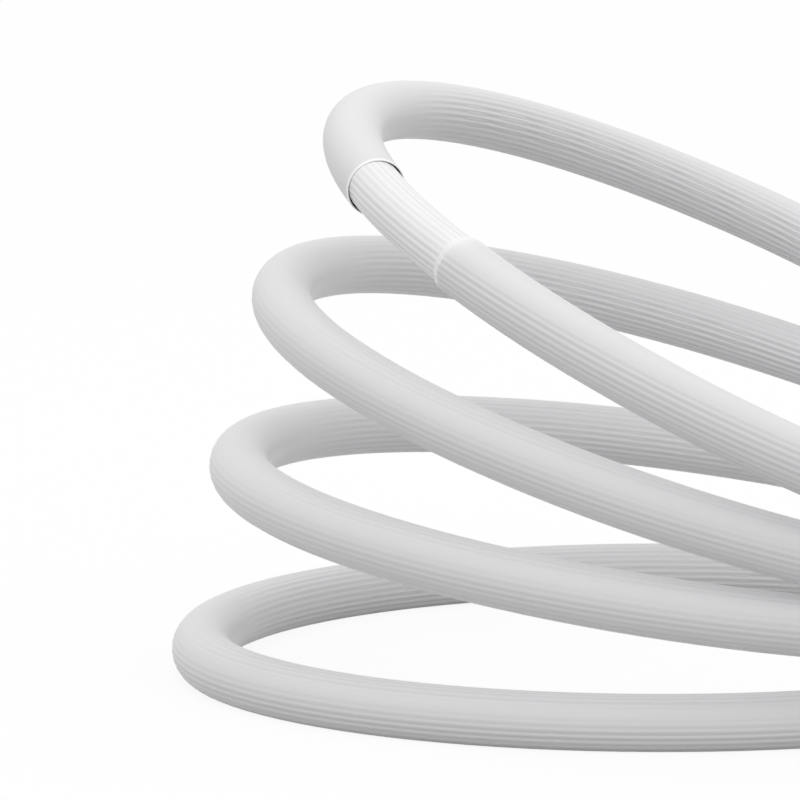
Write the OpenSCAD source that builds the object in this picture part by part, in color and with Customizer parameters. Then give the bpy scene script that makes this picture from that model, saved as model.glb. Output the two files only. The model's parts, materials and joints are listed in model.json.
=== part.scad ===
// Coiled pool vacuum hose.
//
// A lengthwise-ribbed inner hose runs loose inside a thicker outer jacket. The jacket comes in
// two lengths, and between them a window leaves the inner hose bare. One end carries a swivel
// cuff that turns about the hose, the other a plain push-on cuff.
//
// The hose is laid in four loops. Each loop is a flat circle, and each stands more steeply than
// the one under it, so their left sides fan out while their right sides lie on one another.
// The bottom loop and both cuffs rest on the floor, z = 0.

/* [Hose] */

// Inside diameter of the inner hose
bore_d = 38; // [32:0.5:44]
// Wall of the inner hose, ribs included
hose_wall = 1.5; // [1.2:0.1:2.5]
// Height of the lengthwise ribs on the inner hose
rib_height = 0.5; // [0.2:0.1:0.8]
// Number of lengthwise ribs round the inner hose
rib_count = 25; // [20:5:60]
// Room between the inner hose and the jacket, per side
jacket_room = 1.4; // [0.8:0.1:2]
// Wall of the outer jacket
jacket_wall = 1.1; // [0.8:0.1:3]

/* [Loops] */

// Radius of each loop, to the middle of the hose
loop_radius = 357.5; // [340:0.5:380]
// Left end of each loop along X, bottom loop first
loop_reach = [-363, -332, -298, -242]; // [-400:1:-200]
// Height of each loop's left end above the bottom loop
loop_rise = [0, 146, 278, 401]; // [0:1:450]
// Shift of each loop towards the back
loop_shift = [20, 5, 0, -10]; // [-30:1:30]
// Tilt of each loop, left side up, in degrees
loop_tilt = [0, 8, 16.9, 25]; // [0:0.1:30]
// Lean of each loop towards the front, in degrees
loop_lean = [0, 1.7, 4.4, 6.9]; // [0:0.1:10]
// Extra height of each loop where it lies on the one below
lap_lift = [0, 0, 30, 30]; // [0:1:60]
// Sideways step from loop to loop where they lie on one another
lap_step = 16; // [0:1:30]

/* [Window] */

// Turn of the hose at which the window in the jacket starts
window_turn = 3.381; // [3.36:0.001:3.4]
// Share of a turn that the window is long
window_share = 0.06; // [0.03:0.001:0.08]

/* [Cuffs] */

// Inside diameter of both cuffs at the mouth, to slide over a pool fitting
mouth_d = 38.1; // [30:0.1:44]
// Depth that the hose goes into each cuff
socket_depth = 32; // [25:1:45]
// Glue gap round the hose and at its end in its sockets
glue_gap = 0.15; // [0.05:0.05:0.5]
// Length of each cuff in front of the hose's end
nose_length = 92; // [80:1:120]
// Wall of a cuff's nose
nose_wall = 4.6; // [3:0.1:7]
// Height of the lip round a cuff's mouth
lip_height = 1.8; // [1:0.1:3]
// Width of the lip round a cuff's mouth
lip_width = 8; // [5:0.5:12]
// Height of the grip rings round a cuff's nose
grip_height = 0.9; // [0.3:0.1:1.2]
// Number of grip rings on a cuff's nose
grip_count = 6; // [3:1:8]

/* [Swivel] */

// Wall of the collar that the swivel cuff turns on
collar_wall = 2; // [1.5:0.1:4]
// Height of the collar's flange above the collar
flange_height = 2.3; // [1.5:0.1:4]
// Thickness of the collar's flange
flange_thick = 4; // [3:0.5:6]
// Thickness of the collar's wall that stops the hose's end
stop_wall = 3; // [2:0.5:6]
// Running clearance round the flange, and round the retaining ring in its groove, per side
running_gap = 0.08; // [0.02:0.01:0.1]
// Play between turning faces, and inside the retaining ring
face_gap = 0.3; // [0.2:0.05:0.6]
// Thickness of the sealing washer
seal_thick = 2; // [1:0.5:4]
// Thickness of the retaining ring
ring_thick = 2.5; // [1.5:0.5:4]
// Depth of the retaining ring's groove in the cuff
groove_depth = 1.1; // [0.8:0.1:1.2]
// Angle that the retaining ring is split by
ring_split = 20; // [8:1:40]
// Wall of the cuff's skirt round the flange, which sets how high the cuffs rest
skirt_wall = 2.4; // [2:0.1:5]
// Length of the cuff's skirt behind the retaining ring
skirt_reach = 6; // [4:0.5:12]

/* [Hidden] */

$fn = 96;

// Radii of the walls of the hose
bore_r = bore_d / 2;
hose_r = bore_r + hose_wall;
lining_r = hose_r + jacket_room;
jacket_r = lining_r + jacket_wall;

// Radii of the cuffs and of what turns in them
socket_r = jacket_r + glue_gap;
collar_r = socket_r + collar_wall;
flange_r = collar_r + flange_height;
skirt_r = flange_r + running_gap;
groove_r = skirt_r + groove_depth;
ring_r = groove_r - running_gap;
cuff_r = skirt_r + skirt_wall;
mouth_r = mouth_d / 2;
nose_r = mouth_r + nose_wall;
lip_r = nose_r + lip_height;
edge = 1;

// Places along a cuff, from the hose's end at 0 towards the mouth
collar_front = glue_gap + stop_wall;
flange_back = collar_front - flange_thick;
shoulder = collar_front + face_gap + seal_thick;
ring_front = flange_back - face_gap;
ring_back = ring_front - ring_thick;
skirt_back = ring_back - skirt_reach;
body_front = shoulder + nose_wall;
taper_length = 20;
grip_margin = 8;

// The tube is faceted, and is pressed flat by a tenth of its diameter where it lies on the floor
sides = 10;
floor_press = 2 * jacket_r / 10;
axis_height = jacket_r - floor_press;
cuff_height = cuff_r - axis_height;

// The hose lies on the loops from one numbered ring to another, and climbs from each loop to
// the next within climb_share of a turn of the right-hand side
rings_per_loop = 24;
climb_share = 0.2;
first_ring = ceil(climb_share * rings_per_loop);
last_ring = len(loop_tilt) * rings_per_loop - first_ring;
lap_reach = 300;
bare_shares = [0.06, 0.35, 0.65, 0.94];
tiny_turn = 0.0005;

// Runs of hose beyond the loops, as steps from the loops' ends: along X, along Y, and the
// share of the height between the loop and the cuff. Each ends straight and level.
swivel_run = [[50, 14, 0.1], [101, 22, 0.35], [157, 26, 0.75], [215, 26, 1], [293, 26, 1]];
plain_run = [[50, -13, 0.08], [101, -27, 0.17], [152, -44, 0.27], [201, -66, 0.37],
             [248, -92, 0.48], [300, -122, 0.6], [352, -152, 0.72], [404, -182, 0.83],
             [456, -212, 0.93], [508, -242, 1], [586, -287, 1]];
swivel_heading = 0;
plain_heading = atan2(-45, 78);

// ---- The route of the hose, with the bottom loop's middle line at height 0 ----

function unit(v) = v / norm(v);
function smooth(x) = let (c = min(max(x, 0), 1)) c * c * (3 - 2 * c);
function reversed(list) = [for (i = [len(list) - 1 : -1 : 0]) list[i]];

// A list's value between its entries
function between(list, n) =
    let (i = min(floor(n), len(list) - 2))
    list[i] + (list[i + 1] - list[i]) * (n - i);

// Loops climbed by a given turn of the hose
function climbed(turn) =
    let (k = round(turn), share = (turn - k + climb_share) / (2 * climb_share))
    k < 1 ? 0 : min(k - 1 + smooth(share), len(loop_tilt) - 1);

// A point on the loops: a tilted circle measured from its left end, which near its right-hand
// end rises and steps outwards to lie on the loop below
function loop_point(turn) =
    let (n = climbed(turn),
         angle = -360 * turn,
         tilt = between(loop_tilt, n),
         lean = between(loop_lean, n),
         from_left = loop_radius * (1 + cos(angle)),
         from_right = loop_radius * (1 - cos(angle)),
         across = loop_radius * sin(angle),
         lap = smooth(1 - from_right / lap_reach),
         step = lap_step * n * lap)
    [between(loop_reach, n) + from_left * cos(tilt) + step * cos(angle),
     between(loop_shift, n) + across * cos(lean) + step * sin(angle),
     between(loop_rise, n) - from_left * sin(tilt) + across * sin(lean) * (1 - lap)
        + between(lap_lift, n) * lap];

// Places on the route are pairs of a point and the way the hose runs there
function on_loops(turn) =
    [loop_point(turn), unit(loop_point(turn + tiny_turn) - loop_point(turn - tiny_turn))];

function on_run(start, steps) =
    let (points = concat([start], [for (s = steps)
             start + [s[0], s[1], s[2] * (cuff_height - start[2])]]),
         last = len(points) - 1)
    [for (i = [1 : last]) [points[i], unit(points[min(i + 1, last)] - points[i - 1])]];

function backwards(places) = [for (p = reversed(places)) [p[0], -p[1]]];

window_end = window_turn + window_share;
first_turn = first_ring / rings_per_loop;
last_turn = last_ring / rings_per_loop;
turns = [for (i = [first_ring : last_ring]) i / rings_per_loop];
spare = 0.4 / rings_per_loop;

lower_route = concat(backwards(on_run(loop_point(first_turn), swivel_run)),
                     [for (t = turns) if (t < window_turn - spare) on_loops(t)],
                     [on_loops(window_turn)]);
bare_route = [for (share = bare_shares) on_loops(window_turn + window_share * share)];
upper_route = concat([on_loops(window_end)],
                     [for (t = turns) if (t > window_end + spare) on_loops(t)],
                     on_run(loop_point(last_turn), plain_run));
inner_route = concat(lower_route, bare_route, upper_route);

swivel_end = lower_route[0][0];
plain_end = upper_route[len(upper_route) - 1][0];

// ---- The swept tube ----

// One ring of a tube. Corners start half a facet from the bottom, so that a facet lies on the
// floor, and no wall goes below its own height above it. Odd corners lie in a groove.
function ring(place, r, corners, groove) =
    let (side = unit(cross(place[1], [0, 0, 1])), up = cross(side, place[1]))
    [for (i = [0 : corners - 1])
     let (a = -90 + 180 / sides + 360 * i / corners,
          q = place[0] + (r - (i % 2) * groove) * (cos(a) * side + sin(a) * up))
     [q[0], q[1], max(q[2], jacket_r - r - axis_height)]];

// The corner of a ring of m that lies nearest corner i of a ring of n
function corner(i, m, n) = round(i * m / n) % m;

// Triangles between two neighbouring rings, that start at points a and b
function band(a, corners_a, b, corners_b) =
    let (n = max(corners_a, corners_b))
    [for (i = [0 : n - 1])
     let (a0 = a + corner(i, corners_a, n), a1 = a + corner(i + 1, corners_a, n),
          b0 = b + corner(i, corners_b, n), b1 = b + corner(i + 1, corners_b, n))
     each concat(a0 == a1 ? [] : [[a0, a1, b1]], b0 == b1 ? [] : [[a0, b1, b0]])];

function flipped(faces) = [for (f = faces) [f[0], f[2], f[1]]];
function starts(counts) = [for (i = 0, s = 0; i < len(counts); s = s + counts[i], i = i + 1) s];

// A hollow tube along a route. Rings from ribbed_from to ribbed_to carry ribs on the outside.
module tube(route, outer, inner, ribbed_from = 1, ribbed_to = 0) {
    count = len(route);
    corners = [for (i = [0 : count - 1])
               i >= ribbed_from && i <= ribbed_to ? 2 * rib_count : sides];
    outside = starts(corners);
    walls = len([for (i = [0 : count - 1]) each [for (j = [1 : corners[i]]) 1]]);
    points = concat(
        [for (i = [0 : count - 1])
         each ring(route[i], outer, corners[i], corners[i] == sides ? 0 : rib_height)],
        [for (i = [0 : count - 1]) each ring(route[i], inner, sides, 0)]);
    inside = [for (i = [0 : count - 1]) walls + i * sides];
    last = count - 1;
    faces = concat(
        [for (i = [1 : last]) each band(outside[i - 1], corners[i - 1], outside[i], corners[i])],
        [for (i = [1 : last]) each flipped(band(inside[i - 1], sides, inside[i], sides))],
        flipped(band(outside[0], sides, inside[0], sides)),
        band(outside[last], sides, inside[last], sides));
    polyhedron(points = points, faces = faces, convexity = 12);
}

// ---- The box of the whole part, whose middle goes to the origin ----

swivel_out = [cos(swivel_heading), sin(swivel_heading), 0];
plain_out = [cos(plain_heading), sin(plain_heading), 0];
function cuff_corners(end, out) =
    let (side = [-out[1], out[0], 0])
    [for (s = [-1, 1])
     each [end + nose_length * out + s * (lip_r - edge) * side,
           end + (nose_length - edge) * out + s * lip_r * side,
           end + body_front * out + s * cuff_r * side]];
box_points = concat(
    [for (place = concat(lower_route, upper_route)) each ring(place, jacket_r, sides, 0)],
    cuff_corners(swivel_end, swivel_out), cuff_corners(plain_end, plain_out));
box_x = [for (p = box_points) p[0]];
box_y = [for (p = box_points) p[1]];
home = [-(min(box_x) + max(box_x)) / 2, -(min(box_y) + max(box_y)) / 2, axis_height];

// ---- Distances that the build prints ----

steps_per_loop = 3 * rings_per_loop;
fine = [for (i = [first_turn * steps_per_loop : last_turn * steps_per_loop])
        loop_point(i / steps_per_loop)];
half_loop = steps_per_loop / 2;
gaps = [for (i = [0 : len(fine) - 1 - half_loop])
        each [for (j = [i + half_loop : len(fine) - 1]) norm(fine[i] - fine[j])]];
function travel(points) =
    let (steps = [for (i = [1 : len(points) - 1]) norm(points[i] - points[i - 1])])
    steps * [for (s = steps) 1];
echo(least_gap_between_loops = min(gaps) - 2 * jacket_r);
echo(hose_length = travel([for (p = inner_route) p[0]]));
echo(swivel_end = swivel_end + home, plain_end = plain_end + home);
echo(window = [loop_point(window_turn) + home, loop_point(window_end) + home]);

// ---- Pieces ----

module at_hose_end(end, heading) {
    translate(end + home) rotate([0, 90, heading]) children();
}

// The nose that both cuffs have, as half a section: outside from the widest part to the mouth
module nose_section() {
    grip_start = body_front + taper_length + grip_margin;
    grip_end = nose_length - lip_width - grip_margin;
    grip_pitch = (grip_end - grip_start) / (grip_count - 1);
    polygon([[mouth_r, shoulder], [cuff_r, shoulder], [cuff_r, body_front],
             [nose_r, body_front + taper_length], [nose_r, nose_length - lip_width],
             [lip_r, nose_length - lip_width + lip_height], [lip_r, nose_length - edge],
             [lip_r - edge, nose_length], [mouth_r + edge, nose_length],
             [mouth_r, nose_length - edge]]);
    for (i = [0 : grip_count - 1])
        translate([nose_r - grip_height, grip_start + i * grip_pitch])
            circle(r = 2 * grip_height, $fn = 32);
}

module inner_hose() {
    color([0.93, 0.93, 0.94])
        translate(home)
            tube(inner_route, hose_r, bore_r, len(lower_route),
                 len(lower_route) + len(bare_route) - 1);
}

module outer_jacket_lower() {
    color([0.80, 0.81, 0.82]) translate(home) tube(lower_route, jacket_r, lining_r);
}

module outer_jacket_upper() {
    color([0.80, 0.81, 0.82]) translate(home) tube(upper_route, jacket_r, lining_r);
}

module plain_cuff() {
    color([0.72, 0.73, 0.75]) at_hose_end(plain_end, plain_heading) rotate_extrude() {
        nose_section();
        polygon([[socket_r, -socket_depth], [collar_r, -socket_depth], [cuff_r, skirt_back],
                 [cuff_r, shoulder], [mouth_r, shoulder], [mouth_r, glue_gap],
                 [socket_r, glue_gap]]);
    }
}

module swivel_collar() {
    color([0.55, 0.56, 0.58]) at_hose_end(swivel_end, swivel_heading) rotate_extrude()
        polygon([[socket_r, -socket_depth], [collar_r, -socket_depth], [collar_r, flange_back],
                 [flange_r, flange_back], [flange_r, collar_front], [mouth_r, collar_front],
                 [mouth_r, glue_gap], [socket_r, glue_gap]]);
}

module swivel_cuff() {
    color([0.72, 0.73, 0.75]) at_hose_end(swivel_end, swivel_heading) rotate_extrude() {
        nose_section();
        polygon([[skirt_r, skirt_back], [cuff_r - edge, skirt_back], [cuff_r, skirt_back + edge],
                 [cuff_r, shoulder], [skirt_r, shoulder], [skirt_r, ring_front],
                 [groove_r, ring_front], [groove_r, ring_back],
                 [skirt_r, ring_back]]);
    }
}

module swivel_retaining_ring() {
    color([0.40, 0.41, 0.43]) at_hose_end(swivel_end, swivel_heading)
        rotate([0, 0, ring_split / 2]) rotate_extrude(angle = 360 - ring_split)
            polygon([[collar_r + face_gap, ring_back], [ring_r, ring_back],
                     [ring_r, ring_front], [collar_r + face_gap, ring_front]]);
}

module swivel_seal() {
    color([0.25, 0.25, 0.27]) at_hose_end(swivel_end, swivel_heading) rotate_extrude()
        polygon([[mouth_r + edge, shoulder - seal_thick], [skirt_r - face_gap, shoulder - seal_thick],
                 [skirt_r - face_gap, shoulder], [mouth_r + edge, shoulder]]);
}

inner_hose();
outer_jacket_lower();
outer_jacket_upper();
plain_cuff();
swivel_collar();
swivel_cuff();
swivel_retaining_ring();
swivel_seal();
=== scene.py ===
"""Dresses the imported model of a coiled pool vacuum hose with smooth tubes, rounded cuffs and finishes.

The file is laid out as an add-on and is run as a script. Lengths are in metres, and the place
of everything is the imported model's own: the floor is z = 0 and the coil's tails run towards +X.
"""

import json
import math

import bpy
import numpy as np
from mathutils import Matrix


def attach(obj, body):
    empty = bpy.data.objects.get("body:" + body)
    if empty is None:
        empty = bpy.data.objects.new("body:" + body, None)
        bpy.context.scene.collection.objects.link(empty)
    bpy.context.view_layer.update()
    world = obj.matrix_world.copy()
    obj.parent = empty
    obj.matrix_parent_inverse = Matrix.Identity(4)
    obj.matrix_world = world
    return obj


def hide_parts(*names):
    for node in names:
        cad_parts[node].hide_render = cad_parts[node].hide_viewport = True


bl_info = {
    "name": "Coiled Pool Vacuum Hose",
    "version": (1, 0, 0),
    "blender": (4, 5, 0),
    "location": "View3D > Sidebar > Hose",
    "description": "Builds a ribbed hose in its outer jacket, laid in loops, with its two cuffs",
    "category": "Object",
}

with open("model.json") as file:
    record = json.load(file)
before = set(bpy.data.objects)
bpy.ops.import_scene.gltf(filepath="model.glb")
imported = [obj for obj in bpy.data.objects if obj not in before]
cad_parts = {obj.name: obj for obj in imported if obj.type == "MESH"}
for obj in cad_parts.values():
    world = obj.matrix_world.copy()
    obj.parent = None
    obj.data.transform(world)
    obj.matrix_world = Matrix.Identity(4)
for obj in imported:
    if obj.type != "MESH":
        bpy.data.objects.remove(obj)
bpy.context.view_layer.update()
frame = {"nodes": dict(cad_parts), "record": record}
RECORD = frame["record"]
COLOURS = {m["slot"]: m["base_color"][:3] for m in RECORD["materials"]}
SWIVEL_AXIS_AT = RECORD["behaviour"]["joints"][0]["pos_m"]
ROUTE_MAP = "route"
LINE_STRENGTH = "line_strength"


# ---- Sizes and colours ----


def length(label, default, description):
    """A property for a length in metres."""
    return bpy.props.FloatProperty(
        name=label, description=description, default=default, min=0, precision=5, unit="LENGTH"
    )


def lengths(label, default, description):
    """A property for one length per loop, bottom loop first."""
    return bpy.props.FloatVectorProperty(
        name=label, description=description, default=default, size=4, precision=4, unit="LENGTH"
    )


def angles(label, default, description):
    """A property for one angle per loop, bottom loop first, stated here in degrees."""
    return bpy.props.FloatVectorProperty(
        name=label,
        description=description,
        default=[math.radians(a) for a in default],
        size=4,
        unit="ROTATION",
    )


def colour(label, default, description):
    """A property for a colour."""
    return bpy.props.FloatVectorProperty(
        name=label, description=description, default=default, size=3, min=0, max=1, subtype="COLOR"
    )


def number(label, default, description):
    """A property for a plain number."""
    return bpy.props.FloatProperty(name=label, description=description, default=default)


def count(label, default, description):
    """A property for a whole number."""
    return bpy.props.IntProperty(name=label, description=description, default=default, min=1)


class HoseSizes(bpy.types.PropertyGroup):
    """Walls, ribs and lines of the hose and its jacket."""

    bore_r: length("Bore radius", 0.019, "Inside radius of the inner hose")
    hose_r: length("Hose radius", 0.0205, "Outside radius of the inner hose, over its ribs")
    rib_height: length("Rib height", 0.0006, "Height of the ribs on the inner hose")
    rib_count: count("Ribs", 25, "Number of ribs round the inner hose")
    lining_r: length("Lining radius", 0.0219, "Inside radius of the jacket")
    jacket_r: length("Jacket radius", 0.023, "Outside radius of the jacket")
    line_depth: length("Line depth", 0.0005, "Depth of the lengthwise lines on the jacket")
    line_count: count("Lines", 29, "Number of lengthwise lines round the jacket")
    wear: number("Wear", 0.8, "Share of the lines worn off on the outside of the loops")
    edge_lower: length("Lower cut edge", 0.0038, "Length of the trimmed edge under the window")
    edge_upper: length("Upper cut edge", 0.0026, "Length of the trimmed edge over the window")
    thin_lower: number("Lower thinning", 0.5, "Share of the wall that the lower edge tapers off")
    thin_upper: number("Upper thinning", 0.35, "Share of the wall that the upper edge tapers off")
    # Reach of the whiter band beside the lower cut: stress-whitening, and a painted highlight on the
    # jacket's upper side.
    whitened_and_highlit: length("Whitened reach", 0.022, "How far the jacket is whitened beside a cut edge")
    edge_round: length("Edge rounding", 0.0002, "Rounding of the jacket's cut edge")
    lean_reach: length("Leaning reach", 0.06, "How far past the window the hose leans on its jacket")
    lean_gap: length("Leaning gap", 0.00004, "Gap left where the hose leans on its jacket")
    press_round: length("Pressed rounding", 0.0015, "Rounding where the hose is pressed flat")
    skin: length("Skin", 0.00012, "How deep under the outside ribs and lines still show")


class LoopSizes(bpy.types.PropertyGroup):
    """The route of the hose: its loops, and the window in the jacket."""

    centre: bpy.props.FloatVectorProperty(
        name="Centre",
        description="Where the loops are measured from, level with the bottom loop's middle line",
        default=(-0.22912, -0.006295, 0.0184),
        size=3,
        subtype="TRANSLATION",
    )
    radius: length("Loop radius", 0.3575, "Radius of each loop, to the middle of the hose")
    reach: lengths("Reach", (-0.363, -0.332, -0.298, -0.242), "Left end of each loop along X")
    rise: lengths("Rise", (0, 0.146, 0.278, 0.401), "Height of each loop's left end")
    shift: lengths("Shift", (0.02, 0.005, 0, -0.01), "Shift of each loop towards the back")
    tilt: angles("Tilt", (0, 8, 16.9, 25), "Tilt of each loop, left side up")
    lean: angles("Lean", (0, 1.7, 4.4, 6.9), "Lean of each loop towards the front")
    lap_lift: lengths("Lap lift", (0, 0, 0.03, 0.03), "Extra height of each loop at its right end")
    lap_step: length("Lap step", 0.016, "Sideways step from loop to loop at their right end")
    lap_reach: length("Lap reach", 0.3, "How far from its right end a loop is lifted")
    climb_share: number("Climb share", 0.2, "Share of a turn in which a loop climbs to the next")
    first_turn: number("First turn", 5 / 24, "Turn at which the loops start")
    last_turn: number("Last turn", 91 / 24, "Turn at which the loops end")
    window_turn: number("Window", 3.381, "Turn at which the window starts")
    window_share: number("Window share", 0.06, "Share of a turn that the window is long")
    end_height: length("End height", 0.02993, "Height of both cuffs' axes over the floor")


class CuffSizes(bpy.types.PropertyGroup):
    """Sections of both cuffs, from the hose's end at 0 towards the mouth."""

    mouth_r: length("Mouth radius", 0.01905, "Inside radius at the mouth")
    socket_r: length("Socket radius", 0.02315, "Radius of the socket that the hose is glued in")
    socket_depth: length("Socket depth", 0.032, "Depth of the socket")
    collar_r: length("Collar radius", 0.02515, "Outside radius behind the cuff")
    skirt_r: length("Skirt radius", 0.02753, "Inside radius of the swivel cuff's skirt")
    cuff_r: length("Cuff radius", 0.02993, "Outside radius at the widest part")
    nose_r: length("Nose radius", 0.02365, "Outside radius of the nose")
    lip_r: length("Lip radius", 0.02545, "Outside radius of the lip")
    lip_height: length("Lip height", 0.0018, "Height of the lip over the nose")
    lip_width: length("Lip width", 0.008, "Width of the lip")
    stop: length("Stop", 0.00015, "Where the wall that stops the hose begins")
    skirt_back: length("Skirt back", -0.01265, "Back end of the swivel cuff's skirt")
    groove_back: length("Groove back", -0.00665, "Back of the retaining ring's groove")
    groove_front: length("Groove front", -0.00415, "Front of the retaining ring's groove")
    groove_r: length("Groove radius", 0.02863, "Radius of the retaining ring's groove")
    shoulder: length("Shoulder", 0.00545, "Shoulder that carries the sealing washer")
    body_front: length("Body front", 0.01005, "Where the taper to the nose starts")
    taper_length: length("Taper", 0.02, "Length of the taper to the nose")
    nose_length: length("Nose length", 0.092, "Length in front of the hose's end")
    grip_height: length("Grip height", 0.0009, "Height of the grip rings")
    grip_count: count("Grip rings", 6, "Number of grip rings on a nose")
    grip_margin: length("Grip margin", 0.008, "Bare nose at both ends of the grip rings")
    scallop_depth: length("Scallop depth", 0.0007, "Depth of the finger grips on the skirt")
    scallop_count: count("Scallops", 18, "Number of finger grips round the skirt")
    scallop_shift: length("Scallop shift", 0.001, "How far the finger grips lie in front of the skirt")
    crisp: length("Crisp rounding", 0.0004, "Rounding of the inside edges")
    soft: length("Soft rounding", 0.0012, "Rounding of the outside edges at both ends")
    groove_round: length("Groove rounding", 0.0002, "Rounding in the retaining ring's groove")
    back_round: length("Back rounding", 0.003, "Rounding of the plain cuff's back")
    body_round: length("Body rounding", 0.004, "Rounding where the taper starts")
    taper_round: length("Taper rounding", 0.006, "Rounding where the taper meets the nose")
    grip_foot: length("Grip foot rounding", 0.0003, "Rounding at the foot of a grip ring")
    grip_round: length("Grip rounding", 0.0011, "Rounding on top of a grip ring")
    lip_foot: length("Lip foot rounding", 0.0006, "Rounding at the foot of the lip")
    lip_round: length("Lip rounding", 0.001, "Rounding of the lip's back and of the mouth")


class HoseColours(bpy.types.PropertyGroup):
    """Base colours of the finishes."""

    jacket: colour("Jacket", COLOURS["jacket_plastic"], "Pale grey satin plastic")
    hose: colour("Inner hose", COLOURS["inner_plastic"], "White smooth plastic")
    # The cut edge's near-white colour is partly stress-whitening and partly a painted highlight.
    edge: colour("Cut edge", (0.98, 0.98, 0.98), "Whitened plastic where the jacket is cut")
    cuff: colour("Cuffs", COLOURS["cuff_plastic"], "Pale grey moulded plastic")
    collar: colour("Collar", COLOURS["collar_plastic"], "Grey moulded plastic")
    ring: colour("Ring", COLOURS["ring_plastic"], "Dark slippery plastic")
    seal: colour("Seal", COLOURS["seal_rubber"], "Dark rubber")
    floor: colour("Floor", (0.95, 0.95, 0.95), "Matt white floor")


class StageSettings(bpy.types.PropertyGroup):
    """Camera, lamp, surroundings and floor."""

    eye: bpy.props.FloatVectorProperty(
        name="Camera",
        description="Place of the camera",
        default=(-0.22912, -6.54647, 1.12586),
        size=3,
    )
    turned: bpy.props.FloatVectorProperty(
        name="Camera turn",
        description="Turn of the camera",
        default=[math.radians(a) for a in (82.0575, 0.2767, 1.7768)],
        size=3,
        subtype="EULER",
    )
    lens: number("Lens", 384.84, "Focal length in millimetres")
    above: number("Lamp above", 8.0, "Power of the soft lamp above, in watts")
    sky: number("Sky", 0.4, "Strength of the light from all round")
    sky_top: number("Top light", 0.64, "Strength that straight above adds to the sky")
    sky_front: number("Front light", 0.48, "Strength that the front adds to the sky")
    sky_back: number("Back light", 0.17, "Strength that the back adds to the sky")
    floor_size: length("Floor size", 60.0, "Side of the floor")
    bounce: number("Floor bounce", 0.5, "Share of the floor's colour that lights the hose from below")


class HoseSettings(bpy.types.PropertyGroup):
    """All sizes, colours and the stage."""

    hose: bpy.props.PointerProperty(type=HoseSizes, name="Hose", description="Walls and ribs")
    loops: bpy.props.PointerProperty(type=LoopSizes, name="Loops", description="The route")
    cuffs: bpy.props.PointerProperty(type=CuffSizes, name="Cuffs", description="Sections")
    colours: bpy.props.PointerProperty(type=HoseColours, name="Colours", description="Finishes")
    stage: bpy.props.PointerProperty(type=StageSettings, name="Stage", description="Camera and lamp")


# ---- The route of the hose ----


def smooth(x):
    """0 up to 0, 1 from 1, and 3 x^2 - 2 x^3 between."""
    c = np.clip(x, 0, 1)
    return c * c * (3 - 2 * c)


def between(values, n):
    """The values' straight-line reading at the fractional index n."""
    return np.interp(n, np.arange(len(values)), list(values))


def unit(v):
    """Each vector divided by its length."""
    return v / np.linalg.norm(v, axis=-1, keepdims=True)


def loop_points(turn, loops):
    """Points on the loops at an array of turns.

    A loop is a circle of radius R measured from its left end: R (1 + cos) runs down its tilt,
    R sin runs across its lean. Within lap_reach of its right-hand end, a smooth lap between 0
    and 1 lifts it, takes the lean out of its height and steps it outwards. The loop number n
    climbs by one as smooth(x) within climb_share of a turn on either side of a whole turn.
    """
    whole = np.round(turn)
    climb = smooth((turn - whole + loops.climb_share) / (2 * loops.climb_share))
    n = np.where(whole < 1, 0, np.minimum(whole - 1 + climb, len(loops.tilt) - 1))
    angle = -2 * np.pi * turn
    tilt, lean = between(loops.tilt, n), between(loops.lean, n)
    from_left = loops.radius * (1 + np.cos(angle))
    from_right = loops.radius * (1 - np.cos(angle))
    across = loops.radius * np.sin(angle)
    lap = smooth(1 - from_right / loops.lap_reach)
    step = loops.lap_step * n * lap
    return np.stack(
        [
            between(loops.reach, n) + from_left * np.cos(tilt) + step * np.cos(angle),
            between(loops.shift, n) + across * np.cos(lean) + step * np.sin(angle),
            between(loops.rise, n)
            - from_left * np.sin(tilt)
            + across * np.sin(lean) * (1 - lap)
            + between(loops.lap_lift, n) * lap,
        ],
        axis=-1,
    )


# The runs of hose beyond the loops, as steps from the loops' ends: along X, along Y, and the
# share of the height between the loop and the cuff.
SWIVEL_RUN = np.array(
    [[0.050, 0.014, 0.1], [0.101, 0.022, 0.35], [0.157, 0.026, 0.75], [0.215, 0.026, 1], [0.293, 0.026, 1]]
)
PLAIN_RUN = np.array(
    [
        [0.050, -0.013, 0.08],
        [0.101, -0.027, 0.17],
        [0.152, -0.044, 0.27],
        [0.201, -0.066, 0.37],
        [0.248, -0.092, 0.48],
        [0.300, -0.122, 0.6],
        [0.352, -0.152, 0.72],
        [0.404, -0.182, 0.83],
        [0.456, -0.212, 0.93],
        [0.508, -0.242, 1],
        [0.586, -0.287, 1],
    ]
)


def run_points(start, way, steps, end_height):
    """A smooth run from a loop's end through the points of its steps.

    Between two points it is the cubic that meets both with their tangents: the loop's own
    at the start, the last step's at the end, and half the step between neighbours elsewhere.
    """
    rise = (end_height - start[2]) * steps[:, 2]
    knots = np.vstack([start, start + np.column_stack([steps[:, :2], rise])])
    tangents = np.zeros_like(knots)
    tangents[1:-1] = (knots[2:] - knots[:-2]) / 2
    tangents[0] = way * np.linalg.norm(knots[1] - knots[0])
    tangents[-1] = knots[-1] - knots[-2]
    points_between = 24
    t = np.linspace(0, 1, points_between, endpoint=False)[:, None, None]
    a, b, ta, tb = knots[:-1], knots[1:], tangents[:-1], tangents[1:]
    curve = (
        (2 * t**3 - 3 * t**2 + 1) * a
        + (t**3 - 2 * t**2 + t) * ta
        + (3 * t**2 - 2 * t**3) * b
        + (t**3 - t**2) * tb
    )
    return np.vstack([curve.transpose(1, 0, 2).reshape(-1, 3), knots[-1:]])


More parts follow.
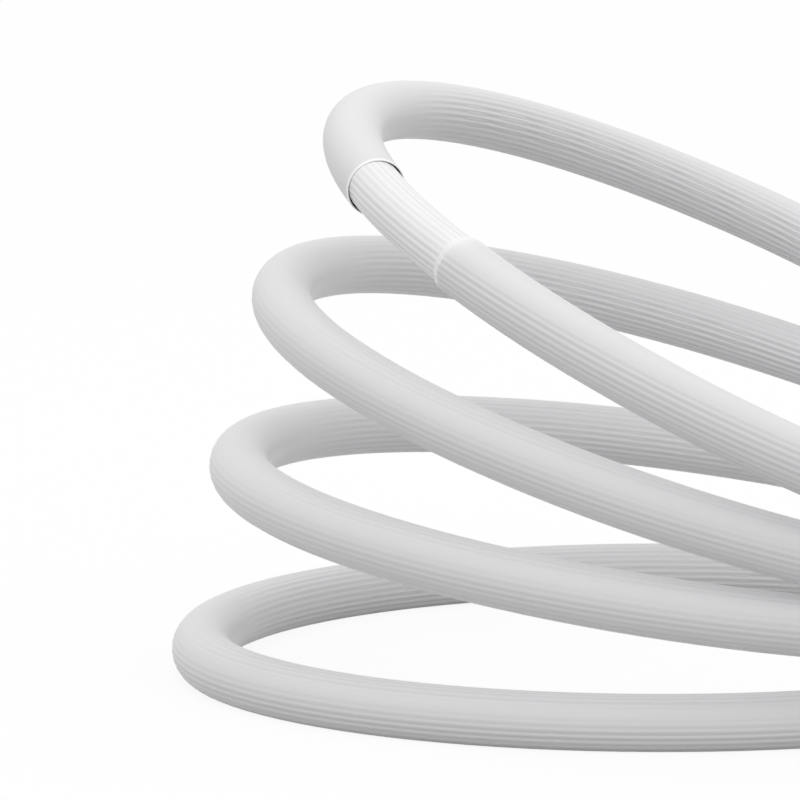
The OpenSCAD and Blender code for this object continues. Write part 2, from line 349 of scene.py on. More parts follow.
class Route:
    """The hose's middle line from the swivel end to the plain end, measured along its length."""

    def __init__(self, loops):
        samples = 4801
        turns = np.linspace(loops.first_turn, loops.last_turn, samples)
        coil = loop_points(turns, loops)
        end_height = loops.end_height - loops.centre[2]
        ways = unit(coil[[1, -1]] - coil[[0, -2]])
        swivel = run_points(coil[0], -ways[0], SWIVEL_RUN, end_height)[::-1]
        plain = run_points(coil[-1], ways[1], PLAIN_RUN, end_height)
        self.points = np.vstack([swivel[:-1], coil, plain[1:]]) + np.array(loops.centre)
        steps = np.linalg.norm(np.diff(self.points, axis=0), axis=1)
        self.distance = np.concatenate([[0], np.cumsum(steps)])
        self.length = float(self.distance[-1])
        coil_distance = self.distance[len(swivel) - 1 : len(swivel) - 1 + len(turns)]
        window = (loops.window_turn, loops.window_turn + loops.window_share)
        self.window = np.interp(window, turns, coil_distance)
        self.turns = turns, coil_distance

    def pattern(self, along):
        """How the jacket's lines change along the hose, as four values for each distance.

        The lines' fullness on straighter hose is 1, or more at both ends of the hose, and fades out
        towards each loop's left end. Their fullness in the left bends fades in there, to 1 on the bottom
        loop and 0.2 on the top one. The wear on top grows from 0.2 on the bottom loop to 0.9 on the top
        one; as it takes the painted groove shade off the top, it also paints the top lighter. The wear on
        the outside lies 0.42 radians over the side, and 0.95 on the top loop.
        """
        turn = np.interp(along, self.turns[1], self.turns[0])
        from_left = np.abs(np.mod(turn, 1) - 0.5)
        bare, fade = np.interp(turn, [0.5, 1.5], [0.02, 0.05]), 0.08
        straight = smooth((from_left - bare) / fade)
        full = np.interp(turn, [0.5, 0.6, 2.5, 2.7, 3.1, 3.6], [1.4, 1.0, 1.0, 1.4, 1.2, 1.6])
        bent = np.interp(turn, [0.5, 2.5, 3.5], [1.0, 0.6, 0.2])
        top_wear_and_painted_light = np.interp(turn, [1.0, 3.2], [0.2, 0.9])
        lift = np.interp(turn, [2.7, 3.0], [0.42, 0.95])
        return full * straight, bent * (1 - straight), top_wear_and_painted_light, lift

    def at(self, along):
        """Points on the route at these distances along it."""
        return np.stack([np.interp(along, self.distance, self.points[:, i]) for i in range(3)], -1)

    def frames(self, along):
        """The points at these distances, with the level direction across and the one over it."""
        reach = 0.004
        low, high = np.clip(along - reach, 0, self.length), np.clip(along + reach, 0, self.length)
        ahead = unit(self.at(high) - self.at(low))
        side = unit(np.cross(ahead, [0, 0, 1.0]))
        return self.at(along), side, np.cross(side, ahead)


# ---- Surfaces ----


# The most that a corner is rounded, as a share of its shorter side.
ROUNDEST = 0.45

# Places this close to each other count as the same.
SAME_PLACE = 1e-6

# The way in which the hose leans on its jacket at the window, out of the loops and up.
LEAN_OUT = 0.64
LEAN_UP = 0.77


def grid_mesh(name, points, coordinates, edge_rows=(), strength=None):
    """A mesh object from a grid of points that closes on itself both ways, like a ring doughnut.

    points has rows along the piece's closed profile and columns round it. coordinates holds the
    route map's value for each row. Faces join neighbours in rows and columns, and edge_rows
    are the rows whose faces take the second material. strength, one value for each point, is
    kept as the attribute that the finishes read.
    """
    rows, columns = points.shape[:2]
    row, column = np.meshgrid(np.arange(rows), np.arange(columns), indexing="ij")
    after, beside = (row + 1) % rows, (column + 1) % columns
    first, second = row * columns, after * columns
    corners = np.stack([first + column, second + column, second + beside, first + beside], axis=-1)
    corners = corners.reshape(-1, 4)
    mesh = bpy.data.meshes.new(name)
    mesh.vertices.add(rows * columns)
    mesh.vertices.foreach_set("co", points.reshape(-1).astype(np.float32))
    mesh.loops.add(corners.size)
    mesh.loops.foreach_set("vertex_index", corners.reshape(-1).astype(np.int32))
    mesh.polygons.add(len(corners))
    mesh.polygons.foreach_set("loop_start", np.arange(0, corners.size, 4, dtype=np.int32))
    mesh.polygons.foreach_set("use_smooth", np.ones(len(corners), bool))
    slots = np.isin(row.reshape(-1), edge_rows).astype(np.int32)
    mesh.polygons.foreach_set("material_index", slots)
    around = np.stack([column, column, column + 1, column + 1], axis=-1) / columns
    reached = np.append(coordinates, coordinates[:1])
    along = np.stack([reached[row], reached[row + 1], reached[row + 1], reached[row]], axis=-1)
    layer = mesh.uv_layers.new(name=ROUTE_MAP)
    layer.data.foreach_set("uv", np.stack([around, along], axis=-1).reshape(-1).astype(np.float32))
    if strength is not None:
        attribute = mesh.attributes.new(LINE_STRENGTH, "FLOAT", "POINT")
        attribute.data.foreach_set("value", strength.reshape(-1).astype(np.float32))
    mesh.update(calc_edges=True)
    mesh.validate()
    piece = bpy.data.objects.new(name, mesh)
    bpy.context.scene.collection.objects.link(piece)
    return piece


def tube_profile(outer, inner, outside, inside, rounding):
    """The closed profile of a tube's wall, as its rows' distances along the tube and their radii.

    It runs over the outside, round the far end, back along the inside and round the near end.
    The four corners are quarter circles of the rounding, at most ROUNDEST of the wall.
    """
    turn = np.linspace(0, np.pi / 2, 4)
    bend = min(rounding, ROUNDEST * (outer - inner))
    dip, reach = bend * (1 - np.cos(turn)), bend * np.sin(turn)
    near, far = outside[0] + bend, outside[-1] - bend
    outwards = outside[(outside > near + SAME_PLACE) & (outside < far - SAME_PLACE)]
    inwards = inside[(inside > near + SAME_PLACE) & (inside < far - SAME_PLACE)][::-1]
    along = np.concatenate(
        [outwards, far + reach, far + reach[::-1], inwards, near - reach, near - reach[::-1]]
    )
    radius = np.concatenate(
        [
            np.full(len(outwards), outer),
            outer - dip,
            inner + dip[::-1],
            np.full(len(inwards), inner),
            inner + dip,
            outer - dip[::-1],
        ]
    )
    return along, radius


def turns_round(columns):
    """The angles of a tube's columns, from its bottom at -90 degrees over its inward side at 0."""
    return -np.pi / 2 + 2 * np.pi * np.arange(columns) / columns


def tube_points(route, along, radius, columns, waves, depth, sharpness, ridge_from, pressed, moved=0):
    """Points of a tube round the route.

    P(s, a) = centre(s) + r(s, a) (cos a side(s) + sin a over(s)), where side points into the
    loops. On rows that lie on the outside, r drops from its row's radius by depth (1 - w), where
    w = ((1 + cos(waves a)) / 2)^sharpness and a is measured from the bottom. Close to the floor,
    a wall keeps to its own height over it by h = low + (d + sqrt(d^2 + rounding^2)) / 2, where
    d is its height over low. moved shifts each row's centre outwards and up by that much.
    """
    centre, side, over = route.frames(along)
    centre = centre + np.asarray(moved)[..., None] * (LEAN_UP * over - LEAN_OUT * side)
    a = turns_round(columns)
    ridge = ((1 + np.cos(waves * (a + np.pi / 2))) / 2) ** sharpness
    fade = 1e-4
    on_outside = np.clip((radius - ridge_from) / fade, 0, 1)
    r = radius[:, None] - depth * on_outside[:, None] * (1 - ridge)[None]
    points = centre[:, None] + r[..., None] * (
        np.cos(a)[None, :, None] * side[:, None] + np.sin(a)[None, :, None] * over[:, None]
    )
    jacket_r, rounding = pressed
    low = jacket_r - radius[:, None]
    d = points[..., 2] - low
    points[..., 2] = low + (d + np.sqrt(d * d + rounding * rounding)) / 2
    return points


def lines_left(columns, wear, pattern):
    """How full the lines are at each point of a jacket that wears on its outside and its top, where fewer
    lines also paint the top lighter, as less painted groove shade.

    Round the tube, straight hose has 1 + 0.25 cos a + 0.25 sin(3 a) sin(7 a) of them, less
    wear exp(-(d / width)^2), where d is the angle from the line that lies lift radians above
    the side towards the outside of the loops, and less its top wear in the same way, round the
    line at top_at. A bend has cos(d)^3 of them, down to 0, with d from 20 degrees under the
    side towards the outside.
    """
    a = turns_round(columns)
    on_straight, on_bends, top_wear_and_painted_light, lift = (part[:, None] for part in pattern)
    width, top_at, top_width, bend_at = 0.38, 1.22, 0.6, -2.8
    uneven = 1 + 0.25 * np.cos(a) + 0.25 * np.sin(3 * a) * np.sin(7 * a)
    outside = np.mod(a + lift, 2 * np.pi) - np.pi
    worn = wear * np.exp(-((outside / width) ** 2))
    # Lines worn off the top: fewer on top, which also paints the top lighter with less painted groove
    # shade.
    worn_and_painted_light_on_top = top_wear_and_painted_light * np.exp(-(((a - top_at) / top_width) ** 2))
    bent = np.maximum(0, np.cos(a - bend_at)) ** 3
    return on_straight * np.maximum(0, uneven - worn - worn_and_painted_light_on_top) + on_bends * bent


def ribs_and_painted_shade(columns):
    """How full the ribs are round the hose: 0.75 - 0.35 sin a + 0.2 sin(3 a) sin(7 a). Fuller at the
    bottom, they also paint the bottom darker and the top lighter through the painted groove shade.
    """
    a = turns_round(columns)
    return 0.75 - 0.35 * np.sin(a) + 0.2 * np.sin(3 * a) * np.sin(7 * a)


def rounded(corners, steps=6):
    """A closed profile of (along, radius, rounding) corners with each corner turned into an arc.

    Each arc is the parabola from rounding before the corner to rounding after it, which meets
    both sides. The rounding is at most ROUNDEST of the shorter side.
    """
    corners = np.array(corners, float)
    here, back, ahead = corners[:, :2], np.roll(corners, 1, 0)[:, :2], np.roll(corners, -1, 0)[:, :2]
    to_back, to_ahead = back - here, ahead - here
    shortest = np.minimum(np.linalg.norm(to_back, axis=1), np.linalg.norm(to_ahead, axis=1))
    bend = np.minimum(corners[:, 2], ROUNDEST * shortest)[:, None]
    before, after = here + unit(to_back) * bend, here + unit(to_ahead) * bend
    t = np.linspace(0, 1, steps)[:, None, None]
    curve = (1 - t) ** 2 * before + 2 * t * (1 - t) * here + t**2 * after
    return curve.transpose(1, 0, 2).reshape(-1, 2)


def turned_points(profile, columns, end, heading, scallops):
    """Points of a profile of (along, radius) rows turned about the hose's axis at one of its ends.

    P = end + along ahead + r (cos a side + sin a up). Within the scallops' stretch, and where r
    is over their least radius, r loses depth (1 - |cos(count a / 2)| ^ 0.8) times a smooth mask
    that fades out at its ends.
    """
    ahead = np.array([math.cos(heading), math.sin(heading), 0])
    side = np.array([math.sin(heading), -math.cos(heading), 0])
    a = turns_round(columns)
    along, radius = profile[:, 0], profile[:, 1]
    start, stop, least_r, depth, number_round = scallops
    fade = 0.002
    mask = smooth((along - start) / fade) * smooth((stop - along) / fade) * (radius > least_r)
    r = radius[:, None] - depth * mask[:, None] * (1 - np.abs(np.cos(number_round * a / 2)) ** 0.8)
    over = np.cos(a)[:, None] * side + np.sin(a)[:, None] * np.array([0, 0, 1.0])
    return np.array(end) + along[:, None, None] * ahead + r[..., None] * over[None]


# ---- Finishes ----


class Value:
    """A shader socket that carries a number; arithmetic on it adds Math nodes."""

    def __init__(self, shader, socket):
        self.shader, self.socket = shader, socket

    def _math(self, operation, a, b=None):
        inputs = {0: a} if b is None else {0: a, 1: b}
        return self.shader.node("ShaderNodeMath", {"operation": operation}, inputs)

    def __add__(self, other):
        return self._math("ADD", self, other)

    def __sub__(self, other):
        return self._math("SUBTRACT", self, other)

    def __rsub__(self, other):
        return self._math("SUBTRACT", other, self)

    def __mul__(self, other):
        return self._math("MULTIPLY", self, other)

    def __pow__(self, other):
        return self._math("POWER", self, other)

    __radd__ = __add__

    def cos(self):
        return self._math("COSINE", self)

    def sin(self):
        return self._math("SINE", self)

    def larger(self, other):
        return self._math("MAXIMUM", self, other)

    def apart(self, other):
        """The distance to another number."""
        return self._math("ABSOLUTE", self - other)


class Finish:
    """A material, or the world, whose nodes are added one at a time."""

    def __init__(self, owner):
        owner.use_nodes = True
        self.owner, self.tree = owner, owner.node_tree
        self.tree.nodes.clear()

    def node(self, kind, settings=None, inputs=None, output=0):
        """Adds a node of a kind, sets its settings, then its sockets, and returns one output."""
        made = self.tree.nodes.new(kind)
        for name, value in (settings or {}).items():
            if name == "stops":
                self._set_stops(made.color_ramp, value)
            else:
                setattr(made, name, value)
        for name, value in (inputs or {}).items():
            if isinstance(value, Value):
                self.tree.links.new(value.socket, made.inputs[name])
            else:
                made.inputs[name].default_value = value
        return Value(self, made.outputs[output]) if made.outputs else None

    def _set_stops(self, ramp, stops):
        while len(ramp.elements) < len(stops):
            ramp.elements.new(0.5)
        for element, (position, value) in zip(ramp.elements, stops):
            element.position, element.color = position, (value, value, value, 1)

    def place(self):
        """Object coordinates."""
        return self.node("ShaderNodeTexCoord", output="Object")

    def line_strength(self):
        """How full the lines on the hose are."""
        return self.node("ShaderNodeAttribute", {"attribute_name": LINE_STRENGTH}, output="Fac")

    def route(self):
        """The turn round the hose, in radians from its bottom, and the distance along it."""
        uv = self.node("ShaderNodeUVMap", {"uv_map": ROUTE_MAP})
        around = self.node("ShaderNodeSeparateXYZ", inputs={0: uv}, output=0)
        along = self.node("ShaderNodeSeparateXYZ", inputs={0: uv}, output=1)
        return around * (2 * math.pi), along

    def vector(self, x, y, z):
        return self.node("ShaderNodeCombineXYZ", inputs={0: x, 1: y, 2: z})

    def noise(self, at, scale, detail=2.0, roughness=0.5):
        """Soft noise between 0 and 1."""
        sockets = {"Vector": at, "Scale": scale, "Detail": detail, "Roughness": roughness}
        return self.node("ShaderNodeTexNoise", {}, sockets)

    def blend(self, factor, a, b):
        """A colour between a, at factor 0, and b, at 1."""
        sockets = {"Factor": factor, 6: (*a, 1) if isinstance(a, tuple) else a, 7: (*b, 1)}
        return self.node("ShaderNodeMix", {"data_type": "RGBA"}, sockets, output=2)

    def bump(self, height, distance):
        return self.node("ShaderNodeBump", inputs={"Height": height, "Distance": distance})

    def shown_rays(self):
        """1 for what the eye sees, directly, in a reflection or through glass, and 0 for light."""
        seen = self.node("ShaderNodeLightPath", output="Is Camera Ray")
        mirrored = self.node("ShaderNodeLightPath", output="Is Glossy Ray")
        through = self.node("ShaderNodeLightPath", output="Is Transmission Ray")
        return seen.larger(mirrored).larger(through)

    def surface(self, **sockets):
        """A Principled surface; names with underscores stand for sockets with spaces."""
        named = {name.replace("_", " "): value for name, value in sockets.items()}
        shader = self.node("ShaderNodeBsdfPrincipled", {}, named)
        self.node("ShaderNodeOutputMaterial", {}, {"Surface": shader})
        return self.owner


def shade(rgb, factor):
    """A colour times a factor, as a tuple."""
    return tuple(min(1.0, c * factor) for c in rgb)


def extruded_plastic(name, rgb, waves, groove_shade, roughness, whitened_and_highlit=None):
    """Extruded satin plastic: darker in its lengthwise grooves as painted shade, with die lines along the
    hose.

    The grooves are where cos(waves a) is low. The last argument gives the place of a cut along the hose,
    and how far from it the jacket is painted whiter on its upper side only: stress-whitening by the cut,
    with a painted highlight on top.
    """
    finish = Finish(bpy.data.materials.new(name))
    turn, along = finish.route()
    ring_at = finish.vector(turn.cos() * 5.0, turn.sin() * 5.0, along * 0.9)
    die_lines = finish.noise(ring_at, 2.2, detail=3.0)
    fine_lines = finish.noise(finish.vector(turn.cos() * 21.0, turn.sin() * 21.0, along * 1.6), 1.0)
    clouds = finish.noise(finish.place(), 7.0, detail=3.0)
    grain = finish.noise(finish.place(), 1400.0, detail=1.0)
    groove = ((1 - (turn * waves).cos()) * 0.5) ** 1.5
    # Painted shade in the grooves, plus the die lines, both as full as the lines are.
    lines = (groove * groove_shade + (die_lines - 0.5) * 0.14) * finish.line_strength()
    darkness = lines + (clouds - 0.5) * 0.06
    base = finish.blend(darkness.larger(0.0), rgb, shade(rgb, 0.45))
    # Painted highlight: whiter towards the cut on the upper side only; the fade from the cut stands for
    # stress-whitening.
    if whitened_and_highlit:
        cut, reach = whitened_and_highlit
        near = (1 - along.apart(cut) * (1 / reach)).larger(0.0)
        painted_highlight_on_top = (turn.cos() * -1).larger(0.0)
        base = finish.blend(near * near * painted_highlight_on_top * 0.9, base, (0.95, 0.95, 0.95))
    rough = roughness + (die_lines - 0.5) * 0.10 + (clouds - 0.5) * 0.08
    height = fine_lines * 0.7 + grain * 0.3
    return finish.surface(
        Base_Color=base,
        Roughness=rough,
        Specular_IOR_Level=0.35,
        Normal=finish.bump(height, 0.00006),
    )


def cut_plastic(name, rgb, trimmed, painted_shade_share):
    """The edge left by a knife: near-white, which is stress-whitening and also a painted highlight, left
    pale at its corners as painted highlights and darker between them as painted shade, with knife marks
    across it.

    trimmed is where the edge starts and ends along the hose.
    """
    finish = Finish(bpy.data.materials.new(name))
    turn, along = finish.route()
    marks = finish.noise(finish.vector(turn.cos() * 60.0, turn.sin() * 60.0, 0.0), 1.0)
    start, end = min(trimmed), max(trimmed)
    across = (along - start) * (2 * math.pi / (end - start))
    # Painted shade between the edge's two corners, which stay pale as painted highlights, plus the knife
    # marks.
    dull = ((1 - across.cos()) * 0.5) ** 2 * painted_shade_share + marks * 0.1
    base = finish.blend(dull, rgb, shade(rgb, 0.68))
    return finish.surface(
        Base_Color=base,
        Roughness=0.35 + marks * 0.1,
        Coat_Weight=1.0,
        Coat_Roughness=0.2,
        Coat_IOR=1.7,
        Normal=finish.bump(marks, 0.00005),
    )


def moulded_plastic(name, rgb, roughness, grain_depth):
    """Moulded plastic with a fine eroded grain, faint flow marks and scuffed high spots."""
    finish = Finish(bpy.data.materials.new(name))
    place = finish.place()
    grain = finish.noise(place, 900.0, detail=2.0)
    flow = finish.noise(place, 34.0, detail=3.0, roughness=0.6)
    scuffs = finish.node(
        "ShaderNodeValToRGB",
        {"stops": [(0.56, 0.0), (0.72, 1.0)]},
        {0: finish.noise(place, 120.0, detail=5.0, roughness=0.7)},
    )
    scuffed = finish.node("ShaderNodeRGBToBW", inputs={0: scuffs})
    base = finish.blend((flow - 0.3).larger(0.0) * 0.25, rgb, shade(rgb, 0.8))
    base = finish.blend(scuffed * 0.12, base, shade(rgb, 1.25))
    return finish.surface(
        Base_Color=base,
        Roughness=roughness + (flow - 0.5) * 0.12 + scuffed * 0.08,
        Specular_IOR_Level=0.45,
        Normal=finish.bump(grain * 0.8 + flow * 0.2, grain_depth),
    )


def sealing_rubber(name, rgb):
    """Dark rubber with a dusty bloom."""
    finish = Finish(bpy.data.materials.new(name))
    bloom = finish.noise(finish.place(), 220.0, detail=4.0, roughness=0.65)
    return finish.surface(
        Base_Color=finish.blend(bloom * 0.35, rgb, shade(rgb, 2.6)),
        Roughness=0.68 + bloom * 0.2,
        Normal=finish.bump(bloom, 0.00008),
    )


def studio_light(stage):
    """Soft light from all round that grows towards the top, and less towards front and back.

    Its strength is sky + top max(0, z) + front max(0, -y) + back max(0, y), in the direction
    (x, y, z) that the light comes from. To the eye and in reflections it is plain white.
    """
    finish = Finish(bpy.data.worlds.new("studio_light"))
    way = finish.node("ShaderNodeTexCoord", output="Generated")
    y = finish.node("ShaderNodeSeparateXYZ", inputs={0: way}, output=1)
    z = finish.node("ShaderNodeSeparateXYZ", inputs={0: way}, output=2)
    ends = (y * -1).larger(0.0) * stage.sky_front + y.larger(0.0) * stage.sky_back
    strength = z.larger(0.0) * stage.sky_top + ends + stage.sky
    light = finish.node("ShaderNodeBackground", inputs={"Color": (1, 1, 1, 1), "Strength": strength})
    white = finish.node("ShaderNodeBackground", inputs={"Color": (1, 1, 1, 1), "Strength": 1.0})
    mixed = finish.node("ShaderNodeMixShader", inputs={0: finish.shown_rays(), 1: light, 2: white})
    finish.node("ShaderNodeOutputWorld", inputs={"Surface": mixed})
    return finish.owner


def white_floor(name, rgb, bounce):
    """A matt floor, white to the eye and in reflections apart from the hose's shadow.

    What it throws back onto the hose from below is its colour times the bounce.
    """
    finish = Finish(bpy.data.materials.new(name))
    matt = finish.node("ShaderNodeBsdfDiffuse", inputs={"Color": (*rgb, 1)})
    white = finish.node("ShaderNodeEmission", inputs={"Color": (1, 1, 1, 1), "Strength": 1.0})
    plain_share = 0.9
    shown = finish.node("ShaderNodeMixShader", inputs={0: plain_share, 1: matt, 2: white})
    dull = finish.node("ShaderNodeBsdfDiffuse", inputs={"Color": (*shade(rgb, bounce), 1)})
    mixed = finish.node("ShaderNodeMixShader", inputs={0: finish.shown_rays(), 1: dull, 2: shown})
    finish.node("ShaderNodeOutputMaterial", inputs={"Surface": mixed})
    return finish.owner


# ---- Operators ----


def settings():
    """The scene's sizes, colours and stage."""
    return bpy.context.scene.hose


def lay_down(piece, body, materials, replaced):
    """Puts a finished piece on its body, its materials and the node it stands for."""
    for material in materials:
        piece.data.materials.append(material)
    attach(piece, body)
    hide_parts(replaced)


def spaced(start, end, step):
    """Distances from start to end, about a step apart."""
    return np.linspace(start, end, max(2, round((end - start) / step) + 1))


def spaced_finer(start, end, step, fine_from, fine_to, fine_step):
    """Distances from start to end, about a step apart, and finer within one stretch."""
    coarse = spaced(start, end, step)
    coarse = coarse[(coarse < fine_from - fine_step) | (coarse > fine_to + fine_step)]
    fine = spaced(fine_from, fine_to, fine_step)
    return np.unique(np.concatenate([coarse, fine, [start, end]]))


class HOSE_OT_stage(bpy.types.Operator):
    """Adds the camera, the soft lamp, the pale surroundings and the floor"""

    bl_idname = "hose.stage"
    bl_label = "Stage"

    def execute(self, context):
        stage = settings().stage
        camera = bpy.data.objects.new("camera", bpy.data.cameras.new("camera"))
        camera.location, camera.rotation_euler = stage.eye, stage.turned
        camera.data.lens = stage.lens
        camera.data.sensor_width = 36
        camera.data.clip_end = 100
        context.scene.collection.objects.link(camera)
        context.scene.camera = camera

        lamp = bpy.data.objects.new("lamp_above", bpy.data.lights.new("lamp_above", "AREA"))
        lamp.location = (-0.2, 0, 3)
        lamp.data.energy = stage.above
        lamp.data.size = 3
        context.scene.collection.objects.link(lamp)
        context.scene.world = studio_light(stage)

        half = stage.floor_size / 2
        mesh = bpy.data.meshes.new("floor")
        corners = [(-half, -half, 0), (half, -half, 0), (half, half, 0), (-half, half, 0)]
        mesh.from_pydata(corners, [], [(0, 1, 2, 3)])
        white = tuple(settings().colours.floor)
        mesh.materials.append(white_floor("white_floor", white, stage.bounce))
        floor = bpy.data.objects.new("floor", mesh)
        context.scene.collection.objects.link(floor)

        context.scene.view_settings.view_transform = "Standard"
        return {"FINISHED"}


class HOSE_OT_inner_hose(bpy.types.Operator):
    """Builds the ribbed inner hose from cuff to cuff, as one hose"""

    bl_idname = "hose.inner_hose"
    bl_label = "Inner hose"

    def execute(self, context):
        hose, loops, colours = settings().hose, settings().loops, settings().colours
        route = Route(loops)
        start, end = route.window
        lean_from, lean_to = start - hose.lean_reach, end + hose.lean_reach
        outside = spaced_finer(0, route.length, 0.040, lean_from, lean_to, fine_step=0.004)
        inside = spaced(0, route.length, 0.065)
        along, radius = tube_profile(hose.hose_r, hose.bore_r, outside, inside, hose.edge_round)
        from_window = np.maximum(start - along, along - end)
        leaning = smooth(1 - from_window / hose.lean_reach)
        columns = 8 * hose.rib_count
        least, under, fade = 0.2, 0.0012, 0.006
        squeezed = least + (1 - least) * smooth((under - from_window) / fade)
        # The ribs are fuller underneath, which also paints the hose darker underneath and lighter on top.
        strength = squeezed[:, None] * ribs_and_painted_shade(columns)
        points = tube_points(
            route,
            along,
            radius,
            columns=columns,
            waves=hose.rib_count,
            depth=hose.rib_height * strength,
            sharpness=1.5,
            ridge_from=hose.hose_r - hose.skin,
            pressed=(hose.jacket_r, hose.press_round),
            moved=(hose.lining_r - hose.hose_r - hose.lean_gap) * leaning,
        )
        piece = grid_mesh("hose_inner", points, along, strength=strength)
        plastic = extruded_plastic(
            "hose_plastic", tuple(colours.hose), hose.rib_count, groove_shade=0.36, roughness=0.30
        )
        lay_down(piece, "hose", [plastic], "inner_hose")
        return {"FINISHED"}


class HOSE_OT_outer_jackets(bpy.types.Operator):
    """Builds the two lengths of jacket, with the cut edges that face each other across the window"""

    bl_idname = "hose.outer_jackets"
    bl_label = "Outer jackets"

    def execute(self, context):
        hose, loops, colours = settings().hose, settings().loops, settings().colours
        route = Route(loops)
        start, end = route.window
        plastic = extruded_plastic(
            "jacket_plastic",
            tuple(colours.jacket),
            hose.line_count,
            groove_shade=0.13,
            roughness=0.42,
            whitened_and_highlit=(start, hose.whitened_and_highlit),
        )
        trims = (start - hose.edge_lower, start), (end + hose.edge_upper, end)
        lower_cut = cut_plastic("cut_plastic_lower", tuple(colours.edge), trims[0], painted_shade_share=0.5)
        upper_cut = cut_plastic("cut_plastic_upper", tuple(colours.edge), trims[1], painted_shade_share=0.0)
        lower, upper = [plastic, lower_cut], [plastic, upper_cut]
        self.jacket(route, "jacket_lower", (0, start), 0.022, trims[0], hose.thin_lower, lower)
        past_window = (end, route.length)
        self.jacket(route, "jacket_upper", past_window, 0.014, trims[1], hose.thin_upper, upper)
        return {"FINISHED"}

    def jacket(self, route, name, stretch, step, trim, thinned, materials):
        """One length of jacket, whose wall is thinned from trim's first place to its cut end.

        Its rows lie a step apart over its stretch of the hose, and closer together near that end.
        """
        hose = settings().hose
        start, end = stretch
        trim_at, cut_at = trim
        way = math.copysign(1, cut_at - trim_at)
        fine_reach = 0.03
        near = sorted((cut_at - way * fine_reach, trim_at))
        outside = spaced_finer(start, end, step, *near, fine_step=0.003)
        inside = spaced_finer(start, end, 0.050, *near, fine_step=0.006)
        along, radius = tube_profile(hose.jacket_r, hose.lining_r, outside, inside, hose.edge_round)
        from_trim = np.clip((along - trim_at) / (cut_at - trim_at), 0, 1)
        radius = hose.lining_r + (radius - hose.lining_r) * (1 - thinned * from_trim)
        columns = 6 * hose.line_count
        strength = lines_left(columns, hose.wear, route.pattern(along))
        points = tube_points(
            route,
            along,
            radius,
            columns=columns,
            waves=hose.line_count,
            depth=hose.line_depth * strength * (from_trim == 0)[:, None],
            sharpness=1.0,
            ridge_from=hose.jacket_r - hose.skin,
            pressed=(hose.jacket_r, hose.press_round),
        )
        trimmed = (from_trim > 0) | (np.roll(from_trim, -1) > 0)
        over_lining = radius > hose.lining_r + SAME_PLACE
        trimmed &= over_lining | np.roll(over_lining, -1)
        piece = grid_mesh(name, points, along, np.flatnonzero(trimmed), strength)
        lay_down(piece, "hose", materials, "outer_" + name)


class HOSE_OT_cuffs(bpy.types.Operator):
    """Builds the plain cuff and the swivel cuff with rounded edges, grip rings and finger grips"""

    bl_idname = "hose.cuffs"
    bl_label = "Cuffs"

    def execute(self, context):
        cuff, colours, loops = settings().cuffs, settings().colours, settings().loops
        plastic = moulded_plastic("cuff_plastic", tuple(colours.cuff), roughness=0.42, grain_depth=0.00006)
        route = Route(loops)
        plain_heading = math.atan2(*(PLAIN_RUN[-1] - PLAIN_RUN[-2])[1::-1])
        stretch = cuff.skirt_back + cuff.scallop_shift, cuff.body_front + cuff.scallop_shift
        scallops = (*stretch, cuff.cuff_r - cuff.soft, cuff.scallop_depth, cuff.scallop_count)

        back = [
            (cuff.stop, cuff.mouth_r, cuff.crisp),
            (cuff.stop, cuff.socket_r, cuff.crisp),
            (-cuff.socket_depth, cuff.socket_r, cuff.crisp),
            (-cuff.socket_depth, cuff.collar_r, cuff.crisp),
            (cuff.skirt_back, cuff.cuff_r, cuff.back_round),
        ]
        piece = self.cuff("cuff_plain", back, route.points[-1], plain_heading, scallops)
        lay_down(piece, "hose", [plastic], "plain_cuff")

        back = [
            (cuff.shoulder, cuff.mouth_r, cuff.crisp),
            (cuff.shoulder, cuff.skirt_r, cuff.crisp),
            (cuff.groove_front, cuff.skirt_r, cuff.groove_round),
            (cuff.groove_front, cuff.groove_r, cuff.groove_round),
            (cuff.groove_back, cuff.groove_r, cuff.groove_round),
            (cuff.groove_back, cuff.skirt_r, cuff.groove_round),
            (cuff.skirt_back, cuff.skirt_r, cuff.crisp),
            (cuff.skirt_back, cuff.cuff_r, cuff.soft),
        ]
        piece = self.cuff("cuff_swivel", back, SWIVEL_AXIS_AT, 0.0, scallops)
        lay_down(piece, "swivel", [plastic], "swivel_cuff")
        return {"FINISHED"}

    def cuff(self, name, back, end, heading, scallops):
        """A cuff: its own back, then the body, taper, grip rings, lip and mouth that both share.

        A grip ring's width is the chord of an arc whose radius is twice its height. Its peak is a
        corner that lies higher than the ring, because the rounding takes its tip off.
        """
        size = settings().cuffs
        nose_start = size.body_front + size.taper_length
        lip_start = size.nose_length - size.lip_width
        front = [
            (size.body_front, size.cuff_r, size.body_round),
            (nose_start, size.nose_r, size.taper_round),
        ]
        half_width, peak = math.sqrt(3) * size.grip_height, 1.3 * size.grip_height
        margin = size.grip_margin
        for at in np.linspace(nose_start + margin, lip_start - margin, size.grip_count):
            front += [
                (at - half_width, size.nose_r, size.grip_foot),
                (at, size.nose_r + peak, size.grip_round),
                (at + half_width, size.nose_r, size.grip_foot),
            ]
        front += [
            (lip_start, size.nose_r, size.lip_foot),
            (lip_start + size.lip_height, size.lip_r, size.lip_round),
            (size.nose_length, size.lip_r, size.soft),
            (size.nose_length, size.mouth_r, size.lip_round),
        ]
        profile = rounded(back + front)
        margin, row_step, columns = 0.0015, 0.001, 216
        flat = spaced(size.skirt_back + margin, size.body_front - margin, row_step)
        profile = insert_rows(profile, flat, size.cuff_r)
        points = turned_points(profile, columns, end, heading, scallops)
        return grid_mesh(name, points, profile[:, 0])


def insert_rows(profile, along, radius):
    """The profile with extra rows on its straight stretch at this radius."""
    row_step, clear = 0.001, 2e-4
    at_radius = np.flatnonzero(np.abs(profile[:, 1] - radius) < SAME_PLACE)
    after = at_radius[np.argmin(np.abs(profile[at_radius, 0] - along[0] + row_step))]
    rows = along[(along > profile[after, 0] + clear) & (along < profile[after + 1, 0] - clear)]
    return np.insert(profile, after + 1, np.column_stack([rows, np.full(len(rows), radius)]), axis=0)


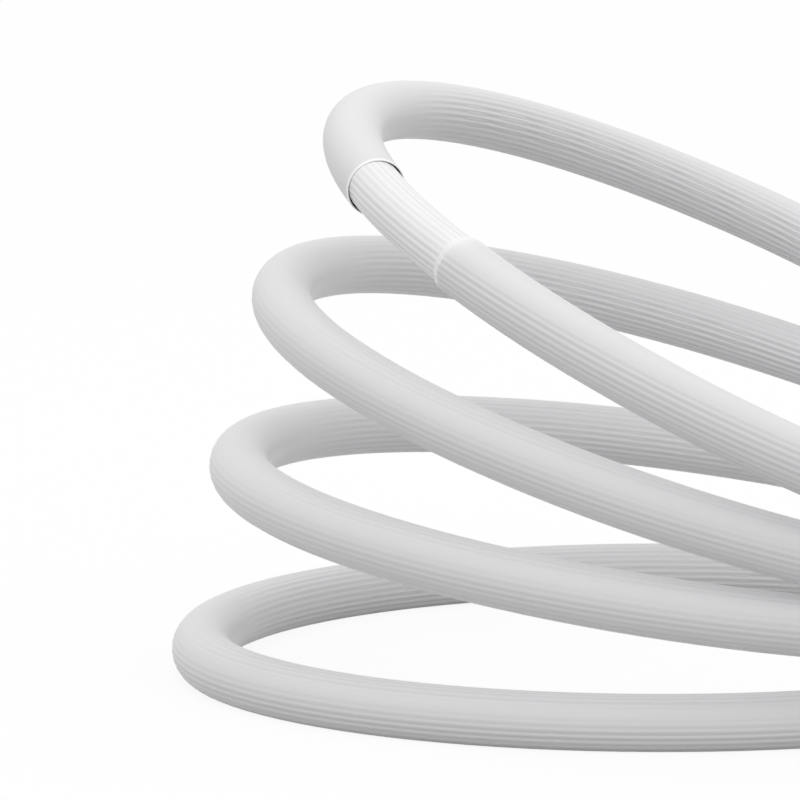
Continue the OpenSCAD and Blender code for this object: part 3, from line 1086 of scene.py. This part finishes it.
class HOSE_OT_swivel_parts(bpy.types.Operator):
    """Finishes the collar, the split retaining ring and the sealing washer of the swivel"""

    bl_idname = "hose.swivel_parts"
    bl_label = "Swivel parts"

    def execute(self, context):
        colours = settings().colours
        collar = moulded_plastic("collar_plastic", tuple(colours.collar), 0.4, grain_depth=0.00005)
        ring = moulded_plastic("ring_plastic", tuple(colours.ring), 0.3, grain_depth=0.00002)
        seal = sealing_rubber("seal_rubber", tuple(colours.seal))
        finishes = {"swivel_collar": collar, "swivel_retaining_ring": ring, "swivel_seal": seal}
        for node, material in finishes.items():
            mesh = frame["nodes"][node].data
            mesh.materials.clear()
            mesh.materials.append(material)
        return {"FINISHED"}


class HOSE_OT_free_hose(bpy.types.Operator):
    bl_idname = "hose.free_hose"
    bl_label = "Free hose"

    def execute(self, context):
        hose, loops = settings().hose, settings().loops
        route = Route(loops)
        return {"FINISHED"}


class HOSE_PT_panel(bpy.types.Panel):
    """Lists the operators and the sizes they use"""

    bl_label = "Pool Vacuum Hose"
    bl_idname = "HOSE_PT_panel"
    bl_space_type = "VIEW_3D"
    bl_region_type = "UI"
    bl_category = "Hose"

    def draw(self, context):
        for operator in OPERATORS:
            self.layout.operator(operator.bl_idname)
        for name in ("hose", "loops", "cuffs", "colours", "stage"):
            group = getattr(context.scene.hose, name)
            box = self.layout.box()
            for key in group.__annotations__:
                box.prop(group, key)


GROUPS = (HoseSizes, LoopSizes, CuffSizes, HoseColours, StageSettings, HoseSettings)
OPERATORS = (
    HOSE_OT_stage,
    HOSE_OT_inner_hose,
    HOSE_OT_outer_jackets,
    HOSE_OT_cuffs,
    HOSE_OT_swivel_parts,
    HOSE_OT_free_hose,
)


def register():
    for made in (*GROUPS, *OPERATORS, HOSE_PT_panel):
        bpy.utils.register_class(made)
    bpy.types.Scene.hose = bpy.props.PointerProperty(type=HoseSettings)


def unregister():
    del bpy.types.Scene.hose
    for made in reversed((*GROUPS, *OPERATORS, HOSE_PT_panel)):
        bpy.utils.unregister_class(made)


def main():
    register()
    for operator in OPERATORS:
        group, name = operator.bl_idname.split(".")
        getattr(getattr(bpy.ops, group), name)()


if __name__ == "__main__":
    main()
